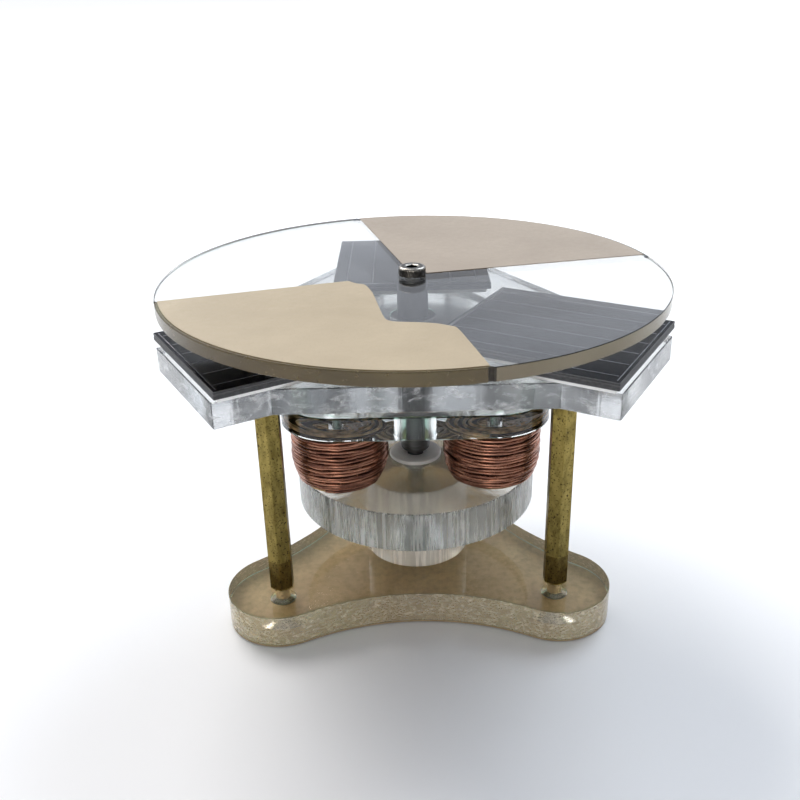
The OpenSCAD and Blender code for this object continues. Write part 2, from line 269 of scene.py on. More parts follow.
def countersunk(B, cx, cy, zc, s, r, head_r, length, af, mats=(0, 1, 2)):
    """A countersunk screw with its face at zc. s is 1 with the head up, -1 with the head down."""
    B.move = lambda x, y, z: (cx + x, cy + s * y, zc + s * z)
    n, hr = 48, af / 2 / math.cos(math.radians(30))
    a = B.ring(0, 0, -0.02, head_r - 0.18, n)
    b = B.ring(0, 0, -0.10, head_r - 0.06, n)
    c = B.ring(0, 0, -0.22, head_r - 0.1, n)
    d = B.ring(0, 0, -(head_r - r), r - 0.02, n)
    h0 = B.ring(0, 0, -0.02, hr, 6)
    h1 = B.ring(0, 0, -0.12, hr - 0.07, 6)
    h2 = B.ring(0, 0, -1.1, hr - 0.07, 6)
    B.cap([a, h0], mats[0])
    B.bridge(a, b, mats[1]); B.bridge(b, c, mats[1]); B.bridge(c, d, mats[0])
    B.bridge(h0, h1, mats[1]); B.bridge(h1, h2, mats[2])
    B.fan(h2, mats[2])
    B.fan(d, mats[0])
    thread(B, -(head_r - r) + 0.05, -length, r, 0.5 if r < 1.8 else 0.7, mats[0])
    B.move = lambda x, y, z: (x, y, z)


# ------------------------------------------------------------------ materials


class Mat:
    def __init__(self, name):
        self.m = bpy.data.materials.new(name)
        self.m.use_nodes = True
        self.t = self.m.node_tree
        self.b = self.t.nodes["Principled BSDF"]
        self.out = self.t.nodes["Material Output"]
        self.tc = self.t.nodes.new("ShaderNodeTexCoord")

    def set(self, **kw):
        for k, v in kw.items():
            self.b.inputs[k.replace("_", " ")].default_value = v
        return self

    def link(self, a, b):
        self.t.links.new(a, self.b.inputs[b] if isinstance(b, str) else b)

    def coord(self, scale=(1, 1, 1), rot=(0, 0, 0)):
        """Object coordinates in millimetres, stretched by scale."""
        n = self.t.nodes.new("ShaderNodeMapping")
        n.inputs["Scale"].default_value = tuple(1000 * s for s in scale)
        n.inputs["Rotation"].default_value = tuple(math.radians(q) for q in rot)
        self.t.links.new(self.tc.outputs["Object"], n.inputs["Vector"])
        return n.outputs[0]

    def noise(self, scale, detail=4.0, rough=0.55, dist=0.0, stretch=(1, 1, 1), rot=(0, 0, 0)):
        n = self.t.nodes.new("ShaderNodeTexNoise")
        n.inputs["Scale"].default_value = scale
        n.inputs["Detail"].default_value = detail
        n.inputs["Roughness"].default_value = rough
        n.inputs["Distortion"].default_value = dist
        self.t.links.new(self.coord(stretch, rot), n.inputs["Vector"])
        return n.outputs["Fac"]

    def cells(self, scale, stretch=(1, 1, 1)):
        n = self.t.nodes.new("ShaderNodeTexVoronoi")
        n.inputs["Scale"].default_value = scale
        self.t.links.new(self.coord(stretch), n.inputs["Vector"])
        return n.outputs["Distance"]

    def ramp(self, fac, stops):
        n = self.t.nodes.new("ShaderNodeValToRGB")
        e = n.color_ramp.elements
        while len(e) < len(stops):
            e.new(0.5)
        for k, (p, c) in enumerate(stops):
            e[k].position = p
            e[k].color = (*c, 1.0) if len(c) == 3 else c
        self.t.links.new(fac, n.inputs["Fac"])
        return n.outputs["Color"]

    def span(self, fac, a, b, lo, hi):
        n = self.t.nodes.new("ShaderNodeMapRange")
        for k, v in zip(("From Min", "From Max", "To Min", "To Max"), (a, b, lo, hi)):
            n.inputs[k].default_value = v
        self.t.links.new(fac, n.inputs["Value"])
        return n.outputs["Result"]

    def math(self, op, a, b):
        n = self.t.nodes.new("ShaderNodeMath")
        n.operation = op
        for k, v in enumerate((a, b)):
            if isinstance(v, (int, float)):
                n.inputs[k].default_value = v
            else:
                self.t.links.new(v, n.inputs[k])
        return n.outputs[0]

    def mix(self, fac, a, b, kind="MIX"):
        n = self.t.nodes.new("ShaderNodeMix")
        n.data_type, n.blend_type = "RGBA", kind
        for k, v in (("Factor", fac), ("A", a), ("B", b)):
            socket = next(s for s in n.inputs if s.name == k and (s.type == ("VALUE" if k == "Factor" else "RGBA")))
            if isinstance(v, (int, float)):
                socket.default_value = v
            elif isinstance(v, tuple):
                socket.default_value = (*v, 1.0)
            else:
                self.t.links.new(v, socket)
        return next(s for s in n.outputs if s.type == "RGBA")

    def bump(self, height, strength, distance=0.05):
        """distance is in millimetres."""
        n = self.t.nodes.new("ShaderNodeBump")
        n.inputs["Strength"].default_value = strength
        n.inputs["Distance"].default_value = distance * MM
        self.t.links.new(height, n.inputs["Height"])
        self.t.links.new(n.outputs["Normal"], self.b.inputs["Normal"])

    def absorb(self, colour, density):
        n = self.t.nodes.new("ShaderNodeVolumeAbsorption")
        n.inputs["Color"].default_value = (*colour, 1.0)
        n.inputs["Density"].default_value = density
        self.t.links.new(n.outputs[0], self.out.inputs["Volume"])


CLEAR = ((0.96, 0.975, 0.97), (0.99, 0.995, 0.99))


def acrylic(name, rough, streak, tint=CLEAR, grey=2.0, distance=0.03, frost=1.0, fine=3.4, smear=0.0, scratch=0.0, wavy=0.0, shine=0.5):
    """streak is the strength of the vertical saw lines, fine how many there are, smear the share of level smears between them, grey the absorption per metre, frost below 1 makes the surface whitish, scratch whitens the lines alone, wavy is the unevenness of a face."""
    m = Mat(name)
    m.set(Transmission_Weight=frost, IOR=1.49, Metallic=0.0)
    m.b.inputs["Specular IOR Level"].default_value = shine
    cloud = m.noise(0.09, 3.0)
    m.link(m.ramp(cloud, [(0.3, tint[0]), (0.7, tint[1])]), "Base Color")
    if streak:
        lines = m.math("ADD", m.math("MULTIPLY", m.noise(fine, 4.0, 0.6, 0.1, (1, 1, 0.03)), 0.75), m.math("MULTIPLY", m.noise(0.5, 3.0, 0.6, 0.2, (1, 1, 0.06)), 0.25))
        if smear:
            level = m.noise(0.8, 4.0, 0.6, 0.5, (0.22, 0.22, 1.7), (4, 7, 0))
            lines = m.math("ADD", m.math("MULTIPLY", lines, 1 - smear), m.math("MULTIPLY", level, smear))
        m.link(m.span(lines, 0.38, 0.62, rough[0], rough[1]), "Roughness")
        m.bump(lines, streak, distance)
        if scratch and smear:
            # short rubbed marks that lean a little
            marks = m.noise(1.5 * smear, 6.0, 0.68, 0.7, (0.55, 0.55, 1.0), (12, 17, 0))
            m.link(m.span(marks, 0.50, 0.70, frost, frost - scratch), "Transmission Weight")
        elif scratch:
            m.link(m.span(lines, 0.49, 0.58, frost, frost - scratch), "Transmission Weight")
    else:
        dust = m.noise(0.7, 6.0, 0.7)
        m.link(m.span(dust, 0.55, 0.78, rough[0], rough[1]), "Roughness")
        if wavy:
            m.bump(m.noise(0.30, 5.0, 0.62, 0.8), wavy, 0.25)
        else:
            m.bump(m.noise(0.12, 2.0), 0.06, 0.02)
    m.absorb((0.80, 0.90, 0.86) if grey <= 2.0 else (0.0, 0.04, 0.03), grey)
    return m.m


FACE = acrylic("acrylic_face", (0.0, 0.06), 0)
SAWN = acrylic("acrylic_sawn_edge", (0.03, 0.20), 0.55)
SAWN_SOFT = acrylic("acrylic_edge", (0.01, 0.09), 0.25)
BORE = acrylic("acrylic_bore", (0.10, 0.30), 0.35)
BASE_FACE = acrylic("base_face", (0.0, 0.10), 0, ((0.88, 0.80, 0.66), (0.96, 0.90, 0.78)), shine=0.25)
BASE_WALL = acrylic("base_saw_cut", (0.04, 0.22), 0.20, ((0.84, 0.71, 0.52), (0.97, 0.87, 0.69)), frost=0.72, distance=0.05, fine=2.0, smear=1.0, scratch=0.45)
BOSS_WALL = acrylic("boss_turned_wall", (0.06, 0.30), 0.9, ((0.94, 0.87, 0.76), (1.0, 0.96, 0.88)), frost=0.40, distance=0.22, fine=1.2, scratch=0.40)
RIM_FACE = acrylic("stator_face", (0.10, 0.36), 0, ((0.88, 0.86, 0.80), (0.96, 0.95, 0.92)), grey=9.0, frost=0.88, wavy=0.45)
RIM_WALL = acrylic("stator_turned_rim", (0.08, 0.40), 0.45, ((0.72, 0.71, 0.65), (0.96, 0.95, 0.92)), 9.0, 0.08, 0.86, 1.5, 0.0, 0.24)
ARM_FACE = acrylic("carrier_face", (0.14, 0.32), 0, grey=7.0)
ARM_WALL = acrylic("carrier_edge", (0.02, 0.20), 0.60, ((0.86, 0.87, 0.89), (0.98, 0.985, 0.99)), 7.0, 0.25, 0.98, 0.9, 0.30, 0.55)
PLATE_WALL = acrylic("coil_plate_edge", (0.0, 0.03), 0, shine=0.25)
# painted reflections on the clear rim: brown under the front film, greyer under the rear film, tan in the open sectors
DISC_RIM_FRONT_REFLECTION = acrylic("disc_rim_painted_front_film_reflection", (0.22, 0.38), 0, ((0.18, 0.121, 0.042), (0.25, 0.170, 0.062)), frost=0.62)
DISC_RIM_REAR_REFLECTION = acrylic("disc_rim_painted_rear_film_reflection", (0.2, 0.4), 0, ((0.26, 0.25, 0.235), (0.36, 0.345, 0.325)), frost=0.6)
DISC_RIM_OPEN_REFLECTION = acrylic("disc_rim_painted_open_reflection", (0.12, 0.28), 0, ((0.47, 0.37, 0.225), (0.56, 0.455, 0.30)), frost=0.66)


def metal(name, dark, light, rough, scale=1.2, stretch=(1, 1, 1), bump=0.15, specks=None, coat=0.0):
    m = Mat(name)
    m.set(Metallic=1.0)
    n1 = m.noise(scale, 5.0, 0.6, 0.2, stretch)
    col = m.ramp(n1, [(0.32, dark), (0.68, light)])
    if specks:
        s = m.noise(specks[0], 2.0, 0.5)
        col = m.mix(m.span(s, specks[1], specks[1] + 0.05, 0.0, 1.0), col, specks[2])
    m.link(col, "Base Color")
    m.link(m.span(m.noise(scale * 2.3, 4.0, 0.6, 0.0, stretch), 0.3, 0.7, rough[0], rough[1]), "Roughness")
    m.bump(n1, bump, 0.03)
    if coat:
        m.set(Coat_Weight=coat, Coat_Roughness=0.15)
    return m.m


BRASS = metal("aged_brass", (0.150, 0.112, 0.030), (0.360, 0.280, 0.085), (0.26, 0.52), 0.6, (1, 1, 0.4), 0.4, (2.2, 0.60, (0.050, 0.036, 0.014)))
# painted shade: a darker copy of the brass for the lower end of each bar, near the base
BRASS_FOOT_SHADE = metal("brass_foot_painted_shade", (0.095, 0.068, 0.018), (0.215, 0.160, 0.050), (0.30, 0.55), 0.8, (1, 1, 0.5), 0.4, (2.2, 0.60, (0.035, 0.024, 0.010)))
BRASS_EDGE = metal("brass_worn_edge", (0.24, 0.19, 0.06), (0.42, 0.36, 0.14), (0.22, 0.35), 1.4)
STEEL = metal("screw_steel", (0.36, 0.36, 0.35), (0.68, 0.68, 0.67), (0.16, 0.36), 1.4, (1, 1, 1), 0.1)
STEEL_EDGE = metal("steel_bright_edge", (0.60, 0.60, 0.59), (0.80, 0.80, 0.79), (0.12, 0.24), 2.0)
DARK = metal("blackened_steel", (0.035, 0.032, 0.030), (0.12, 0.112, 0.10), (0.25, 0.45), 1.1, (1, 1, 1), 0.2)
DARK_EDGE = metal("blackened_steel_edge", (0.16, 0.15, 0.135), (0.34, 0.32, 0.29), (0.2, 0.35), 1.6)
SOCKET = metal("socket_shadow", (0.012, 0.012, 0.012), (0.035, 0.033, 0.03), (0.45, 0.65), 1.6)
SHAFT = metal("turned_steel", (0.10, 0.10, 0.10), (0.20, 0.20, 0.20), (0.42, 0.60), 2.2, (0.15, 0.15, 1.6), 0.25)
PLATE_STEEL = metal("rotor_steel", (0.10, 0.105, 0.11), (0.20, 0.205, 0.215), (0.22, 0.42), 0.5, (1, 1, 1), 0.15)
NICKEL = metal("nickel", (0.52, 0.51, 0.48), (0.72, 0.71, 0.68), (0.08, 0.2), 0.7, (1, 1, 1), 0.08)


def plastic(name, lo, hi, rough, scale=0.8, bump=0.15, sss=0.0):
    m = Mat(name)
    n1 = m.noise(scale, 5.0)
    m.link(m.ramp(n1, [(0.3, lo), (0.7, hi)]), "Base Color")
    m.link(m.span(m.noise(scale * 3, 3.0), 0.3, 0.7, rough[0], rough[1]), "Roughness")
    m.bump(m.noise(scale * 6, 4.0), bump, 0.02)
    if sss:
        m.set(Subsurface_Weight=sss, Subsurface_Scale=0.001)
        m.b.inputs["Subsurface Radius"].default_value = (1.0, 0.9, 0.8)
    return m.m


NYLON = plastic("white_nylon", (0.84, 0.82, 0.79), (0.93, 0.91, 0.88), (0.28, 0.42), 0.6, 0.12, 0.2)
ACETAL = plastic("black_acetal", (0.018, 0.018, 0.020), (0.045, 0.045, 0.048), (0.3, 0.45), 0.8, 0.12)
TUBE = plastic("coil_tube", (0.60, 0.58, 0.53), (0.74, 0.72, 0.67), (0.35, 0.5), 0.9)
LOOP = plastic("lead_sleeve", (0.50, 0.38, 0.34), (0.72, 0.60, 0.56), (0.3, 0.45), 1.2)
FOAM = plastic("foam_tape", (0.86, 0.86, 0.85), (0.95, 0.95, 0.94), (0.8, 0.95), 2.6, 0.9)
CELL_SIDE = plastic("cell_board", (0.022, 0.023, 0.025), (0.060, 0.061, 0.064), (0.45, 0.7), 1.6, 0.5)
CELL_LINE = plastic("cell_laminate", (0.07, 0.07, 0.072), (0.14, 0.14, 0.142), (0.4, 0.6), 1.2, 0.3)


def copper(name, dark, light, rough):
    m = Mat(name)
    m.set(Metallic=0.85, Coat_Weight=0.35, Coat_Roughness=0.14)
    # the wires run level, so their tones run along and change from turn to turn
    n1 = m.noise(0.62, 4.0, 0.6, 0.2, (0.2, 0.2, 3.0))
    n2 = m.noise(1.6, 2.0, 0.5, 0.0, (0.3, 0.3, 1.2))
    col = m.ramp(n1, [(0.34, dark), (0.66, light)])
    col = m.mix(m.span(n2, 0.60, 0.72, 0.0, 0.22), col, (0.07, 0.024, 0.015))
    m.link(col, "Base Color")
    m.link(m.span(n2, 0.3, 0.7, rough[0], rough[1]), "Roughness")
    m.bump(m.noise(1.2, 2.0), 0.03, 0.02)
    m.b.inputs["Coat Tint"].default_value = (0.95, 0.62, 0.48, 1.0)
    return m.m


COPPER = copper("enamelled_copper", (0.110, 0.040, 0.026), (0.500, 0.265, 0.175), (0.16, 0.30))
# painted shade: a near-black copy of the copper for the inner layer and the filling of the winding
COPPER_SHADE = copper("winding_painted_shade", (0.022, 0.010, 0.007), (0.055, 0.024, 0.016), (0.4, 0.6))
# the end turns' dark copper colour with pale tan patches painted in as glints; their own specular is turned almost off
# below
SPIRAL = plastic("winding_end_turns_painted_glints", (0.110, 0.055, 0.020), (0.980, 0.640, 0.330), (0.25, 0.4), 0.35, 0.1)
# painted shade: a dark matte brown for the top of the winding's filling, behind the end turns
WINDING_TOP_SHADE = plastic("winding_top_painted_shade", (0.030, 0.016, 0.008), (0.080, 0.042, 0.020), (0.85, 0.95), 0.5, 0.1)
for matte_end in (SPIRAL, WINDING_TOP_SHADE):
    matte_end.node_tree.nodes["Principled BSDF"].inputs["Specular IOR Level"].default_value = 0.05


def paper(name, scale, a, b, c, rough=0.85, bump=0.4):
    m = Mat(name)
    n1, n2, n3 = m.noise(0.055, 4.0, 0.6, 0.4), m.noise(0.6, 5.0, 0.65), m.noise(3.2, 3.0, 0.6, 0.0, (1, 0.25, 1), (0, 0, 25))
    col = m.ramp(n1, [(0.32, a), (0.68, b)])
    col = m.mix(m.span(n2, 0.42, 0.72, 0.0, 0.55), col, c)
    col = m.mix(m.span(n3, 0.55, 0.75, 0.0, 0.25), col, tuple(0.7 * x for x in a))
    m.link(col, "Base Color")
    m.link(m.span(n2, 0.3, 0.7, rough - 0.08, rough + 0.08), "Roughness")
    m.bump(m.math("ADD", n2, n3), bump, 0.04)
    return m.m


PAPER = paper("masking_paper", 1.0, (0.36, 0.265, 0.150), (0.46, 0.350, 0.210), (0.31, 0.220, 0.120))
# painted light: the paper seen under the plate is a copy of the sheet's paper, painted nearly twice as light
PAPER_UNDER_LIT = paper("paper_under_plate_painted_light", 1.0, (0.66, 0.490, 0.275), (0.86, 0.660, 0.390), (0.44, 0.315, 0.165), 0.45, 0.35)
FILM = paper("opaque_film", 1.0, (0.375, 0.295, 0.185), (0.440, 0.352, 0.228), (0.410, 0.330, 0.218), 0.42, 0.06)
FILM_REAR = paper("opaque_film_greyer", 1.0, (0.325, 0.262, 0.200), (0.375, 0.308, 0.238), (0.350, 0.288, 0.228), 0.42, 0.06)
FILM_UNDER = paper("film_underside", 1.0, (0.34, 0.250, 0.120), (0.42, 0.315, 0.165), (0.30, 0.215, 0.100), 0.6, 0.05)


def silicon():
    m = Mat("cell_face")
    m.set(IOR=1.2)
    n1, n2 = m.noise(0.13, 4.0, 0.6, 0.5), m.noise(1.3, 4.0, 0.6)
    col = m.ramp(n1, [(0.3, (0.0030, 0.0030, 0.0042)), (0.7, (0.0085, 0.0088, 0.0120))])
    m.link(m.mix(m.span(n2, 0.6, 0.8, 0.0, 0.3), col, (0.012, 0.012, 0.016)), "Base Color")
    m.link(m.span(n2, 0.3, 0.7, 0.10, 0.20), "Roughness")
    m.bump(n1, 0.08, 0.05)
    return m.m


SILICON = silicon()
FINGER = metal("cell_contact", (0.10, 0.10, 0.11), (0.20, 0.20, 0.215), (0.30, 0.45), 2.0)
# painted shade: the shaft's upper end is a dark matte colour instead of steel, so that it does not read as lit under
# the disc
SHAFT_TOP_SHADE = plastic("shaft_upper_end_painted_shade", (0.05, 0.052, 0.056), (0.085, 0.088, 0.094), (0.6, 0.8), 1.0, 0.1)
# painted shade: a dark brown mark on the rim at each notch
NOTCH_SHADE = plastic("notch_painted_shade", (0.020, 0.016, 0.011), (0.055, 0.045, 0.032), (0.6, 0.8), 1.5, 0.2)


# ------------------------------------------------------------------ camera


def camera():
    f, az, pitch, roll, dist = 929.5, math.radians(0.49), math.radians(24.50), math.radians(-1.46), 234.5
    lx, lz = -3.64, 49.93
    fwd = np.array([-math.sin(az) * math.cos(pitch), math.cos(az) * math.cos(pitch), -math.sin(pitch)])
    right = np.array([math.cos(az), math.sin(az), 0.0])
    up = np.cross(right, fwd)
    r2 = math.cos(roll) * right + math.sin(roll) * up
    u2 = -math.sin(roll) * right + math.cos(roll) * up
    at = np.array([lx * math.cos(az), lx * math.sin(az), lz]) - fwd * dist
    data = bpy.data.cameras.new("camera")
    data.sensor_fit, data.sensor_width = "HORIZONTAL", 36.0
    data.lens = f / 800 * 36
    data.clip_start, data.clip_end = 0.01, 50.0
    cam = bpy.data.objects.new("camera", data)
    m = Matrix([[r2[k], u2[k], -fwd[k], at[k] * MM] for k in range(3)] + [[0, 0, 0, 1]])
    cam.matrix_world = m
    bpy.context.scene.collection.objects.link(cam)
    bpy.context.scene.camera = cam


camera()


# ------------------------------------------------------------------ base

STANDOFF_R, LOBE_R, HOLLOW_R, SIDE_HOLLOW_R = 39.5, 13.5, 58.0, 74.0
COIL_R = 21.4
# heights of the stack
Z_BASE, Z_STATOR, Z_COIL, Z_TOP, Z_CHAMBER = 8.6, 24.6, 34.6, 50.6, 56.6
Z_CARRIER, Z_FOAM, Z_CELL, Z_CELL_TOP, Z_DISC, Z_FILM = 64.6, 70.6, 71.8, 73.6, 79.6, 82.6


def base_outline(steps=44):
    def far(r):
        return STANDOFF_R * 0.5 + math.sqrt((r + LOBE_R) ** 2 - (STANDOFF_R * math.sin(math.radians(60))) ** 2)

    def half(r):
        return math.degrees(math.atan2(STANDOFF_R * math.sin(math.radians(60)), far(r) - STANDOFF_R * 0.5))

    radius = {LEFT: HOLLOW_R, REAR: SIDE_HOLLOW_R, RIGHT: SIDE_HOLLOW_R}
    before = {REAR: RIGHT, LEFT: REAR, RIGHT: LEFT}
    out = []
    for a in (REAR, LEFT, RIGHT):
        r, h1, h0 = radius[a], half(radius[a]), half(radius[before[a]])
        cx, cy = pol(STANDOFF_R, a)
        for i in range(steps + 1):
            q = -(60 + h0) + (120 + h0 + h1) * i / steps
            x, y = pol(LOBE_R, a + q)
            out.append((cx + x, cy + y))
        fx, fy = pol(far(r), a + 60)
        for i in range(1, steps):
            x, y = pol(r, a + 60 + h1 - 2 * h1 * i / steps)
            out.append((fx - x, fy - y))
    return out


OUT = base_outline()

B = Build()
holes = [(*pol(STANDOFF_R, a), [(2.05, Z_BASE), (1.9, Z_BASE - 0.15), (1.9, 1.8), (3.31, 0.42)], "through") for a in (LEFT, RIGHT, REAR)]
holes.append((0, 0, [(2.35, Z_BASE), (2.2, Z_BASE - 0.15), (2.2, 2.3), (4.1, 0.42)], "through"))
solid(B, OUT, 0.42, Z_BASE, 0.18, holes, top=0, side=1, bottom=2, edge=4, hole_mat=3)
B.make("clear_base_plate", [BASE_FACE, BASE_WALL, PAPER_UNDER_LIT, BORE, SAWN], "stand", ("base_plate",))

B = Build()
w = wave(5, 24, 3.0)
edge = inset(OUT, 0.06)
wob = w(np.linspace(0, 6.283, len(edge), endpoint=False))
edge = [(x * (1 - 0.0012 * abs(q)), y * (1 - 0.0012 * abs(q))) for (x, y), q in zip(edge, wob)]
holes = [(*pol(STANDOFF_R, a), [(3.5, 0.40), (3.5, 0.0)], "through") for a in (LEFT, RIGHT, REAR)] + [(0, 0, [(4.4, 0.40), (4.4, 0.0)], "through")]
solid(B, edge, 0.0, 0.40, 0.05, holes)
B.make("masking_paper_sheet", [PAPER], "stand", ("base_paper",))

B = Build()
for a in (LEFT, RIGHT, REAR):
    countersunk(B, *pol(STANDOFF_R, a), 0.4, -1, 1.5, 3.1, 14.6, 2.0)
B.make("base_plate_screws", [STEEL, STEEL_EDGE, SOCKET], "stand", ("base_screws",))

B = Build()
countersunk(B, 0, 0, 0.4, -1, 2.0, 4.0, 26.8, 2.5)
B.make("stator_centre_screw", [STEEL, STEEL_EDGE, SOCKET], "stand", ("center_screw",))

# ------------------------------------------------------------------ standoffs


def standoff(name, a):
    B = Build()
    cx, cy = pol(STANDOFF_R, a)
    z0, z1, af, per = Z_BASE, Z_CARRIER, 5.5, 10
    angles = [math.radians(60 * k + 60 * i / per) for k in range(6) for i in range(per)]
    drops = [0.0, 0.06, 0.12, 0.18, 0.24, 0.30, 0.36, 0.5]
    levels = [z0 + 0.02 + d for d in drops] + list(np.linspace(z0 + 1.2, z1 - 1.2, 24)) + [z1 - 0.02 - d for d in reversed(drops)]
    rows = []
    for z in levels:
        d = min(z - z0 - 0.02, z1 - 0.02 - z)
        pts = []
        for t in angles:
            flat = af / 2 / math.cos(math.radians(math.degrees(t) % 60 - 30))
            # the corners of the bar are a little round
            flat = min(flat, af / 2 / math.cos(math.radians(30)) - 0.05)
            r = min(flat, 2.62 + d / 0.577)
            q = t + math.radians(a)
            pts.append((cx + r * math.cos(q), cy + r * math.sin(q), z))
        rows.append(B.add(pts))
    for k in range(len(rows) - 1):
        near = k < len(drops) - 1 or k >= len(rows) - len(drops)
        # the lowest 6.5 mm of each bar takes the darker brass, painted shade near the base
        B.bridge(rows[k], rows[k + 1], 1 if near else 2 if levels[k] < z0 + 6.5 else 0)
    n = len(angles)
    for ring, z, s in ((rows[0], z0, 1), (rows[-1], z1, -1)):
        h0 = B.ring(cx, cy, z + s * 0.02, 1.72, n)
        h1 = B.ring(cx, cy, z + s * 0.22, 1.52, n)
        h2 = B.ring(cx, cy, z + s * 9.0, 1.52, n)
        B.cap([ring, h0], 1)
        B.bridge(h0, h1, 1)
        B.bridge(h1, h2, 0)
        B.fan(h2, 0)
    B.make("brass_" + name, [BRASS, BRASS_EDGE, BRASS_FOOT_SHADE], "stand", (name,), angle=18)


for k, a in ARMS.items():
    standoff("standoff_" + k, a)

# ------------------------------------------------------------------ stator

B = Build()
prof = [(13.15, 8.63), (13.3, 8.78), (13.3, 24.42), (13.15, 24.57), (2.2, 24.57), (2.2, 8.63)]
B.lathe(prof, n=144, closed=True, mats=[1, 1, 1, 0, 2, 0])
B.make("clear_boss", [FACE, BOSS_WALL, BORE], "stand", ("boss_spacer",))


def circle(r, n, a0=0.0):
    return [pol(r, a0 + 360.0 * i / n) for i in range(n)]


B = Build()
holes = [(0, 0, [(3.95, 34.57), (3.77, 34.4), (3.77, 28.6)], "top"), (0, 0, [(2.02, 27.6), (2.02, 24.63)], "bottom")]
holes += [(*pol(COIL_R, a), [(1.62, 34.57), (1.52, 34.45), (1.52, 28.1)], "top") for a in (LEFT, RIGHT, REAR)]
solid(B, circle(30.3, 240), 24.63, 34.57, 0.25, holes, top=0, side=1, bottom=0, edge=1, hole_mat=2)
B.make("clear_stator_disc", [RIM_FACE, RIM_WALL, BORE], "stand", ("stator_disc",))

B = Build()
prof = [(2.9, 35.6), (6.35, 35.6), (6.53, 35.53), (6.6, 35.35), (6.6, 34.8), (6.45, 34.6), (3.75, 34.6), (3.75, 28.9), (3.55, 28.65), (0, 28.65)]
B.lathe(prof, n=96)
rows = [(2.9, 35.6), (2.35, 35.4), (2.03, 35.0), (2.03, 30.0), (1.6, 29.8), (0, 29.8)]
B.lathe(rows, n=96)
B.make("nylon_lower_bearing", [NYLON], "stand", ("lower_bearing",))

# ------------------------------------------------------------------ coils


def coil(name, a, seed):
    cx, cy = pol(COIL_R, a)
    B = Build()
    B.move = lambda x, y, z: (cx + x, cy + y, z)
    wire, z0, z1, R = 0.42, 35.35, 50.1, 11.95
    turns, per = 17, 60
    n = turns * per
    t = np.linspace(0, turns * 2 * math.pi, n)
    f = t / t[-1]
    # turns that lie over or beside each other: slow wobbles along the wire, in height and in radius
    dz = 0.50 * wave(seed, 9, 0.35)(t) + 0.36 * wave(seed + 1, 14, 0.9)(t)
    dr = 0.40 * wave(seed + 2, 12, 0.55)(t) + 0.26 * wave(seed + 3, 20, 1.3)(t)
    edge = np.clip(np.minimum(f, 1 - f) * 14, 0, 1)
    z = z0 + (z1 - z0) * f + dz * edge

    def waist(z):
        # the winding draws in towards its lower end
        return 1.9 * np.clip((41.5 - z) / 6.2, 0, 1) ** 2.0

    r = np.minimum(R - wire - 0.14 + dr, R - wire) - waist(z)
    start = math.radians(a + 40)
    B.tube(np.stack([r * np.cos(t + start), r * np.sin(t + start), z], 1), wire, 8, 0)
    # a few turns that cross over the others at a slant
    for q in range(6):
        rng = np.random.default_rng(seed + 40 + q)
        a0, zc, rise = q * 1.05 + rng.uniform(0, 0.8), rng.uniform(42.0, 48.5), rng.uniform(-1.8, 1.8)
        u = np.linspace(0, 1, 70)
        lift = np.sin(math.pi * u) ** 0.6
        rr = R - wire - 0.62 + 0.62 * lift
        tt = a0 + 2.6 * u
        B.tube(np.stack([rr * np.cos(tt), rr * np.sin(tt), zc + rise * (u - 0.5)], 1), wire, 8, 0)
    # the layer below, which closes the gaps; it is near-black, painted shade between the turns
    t2 = np.linspace(0, 18 * 2 * math.pi, 18 * 40)
    z2 = 35.45 + 14.5 * t2 / t2[-1] + 0.12 * wave(seed + 4, 9, 0.6)(t2)
    r2 = 10.66 + 0.08 * wave(seed + 5, 9, 0.8)(t2) - waist(z2)
    B.tube(np.stack([r2 * np.cos(t2 + start), r2 * np.sin(t2 + start), z2], 1), 0.46, 6, 1)
    # flat turns on the two ends; the upper ones are pressed against the plate
    for zc, k, out in ((50.95, 6, 11.3), (35.25, 8, 9.2)):
        m = 3.7 if k == 6 else 5.2
        t3 = np.linspace(0, m * 2 * math.pi, int(m * 56))
        r3 = 4.7 + (out - 4.7) * t3 / t3[-1] + (0.75 if k == 6 else 0.30) * wave(seed + k, 10, 0.4)(t3)
        z3 = zc + (0.24 if k == 6 else 0.1) * wave(seed + k + 1, 8, 0.7)(t3)
        B.tube(np.stack([r3 * np.cos(t3 + start), r3 * np.sin(t3 + start), z3], 1), 0.42, 8, 2)
    # the wire's pale ends, laid in loops on the right-hand side of the upper turns
    for q in range(3):
        rng = np.random.default_rng(seed + 60 + q)
        u = np.linspace(0, 1, 60)
        x = 3.2 + 1.6 * q + 1.5 * np.cos(6.283 * u * 1.3 + q) + 0.4 * wave(seed + 61 + q, 5, 1.0)(6 * u)
        y = -3.6 + 1.5 * q + 1.7 * np.sin(6.283 * u * 1.1 + q * 2)
        B.tube(np.stack([x, y, 51.25 + 0.15 * np.sin(9 * u + q)], 1), 0.26, 6, 3)
    # a solid fills the winding: its sides are near-black and its top under the plate dark matte brown, painted shade
    # behind the turns
    B.lathe([(4.03, 35.2), (8.3, 35.2), (8.9, 37.0), (10.3, 41.5), (10.3, 50.1), (11.5, 50.4), (11.5, 50.80), (4.03, 50.80)], n=72, closed=True, mats=[1] * 4 + [4] * 3 + [1])
    B.move = lambda x, y, z: (x, y, z)
    B.make("winding_" + name, [COPPER, COPPER_SHADE, SPIRAL, LOOP, WINDING_TOP_SHADE], "stand", ("coil_" + name,), angle=60)
    B = Build()
    B.lathe([(1.65, 34.63), (3.85, 34.63), (4.0, 34.78), (4.0, 50.42), (3.85, 50.57), (1.65, 50.57)], cx, cy, 64, closed=True)
    B.make("coil_tube_" + name, [TUBE], "stand", ("coil_core_" + name,))


for i, (k, a) in enumerate(ARMS.items()):
    coil(k, a, 100 + 20 * i)

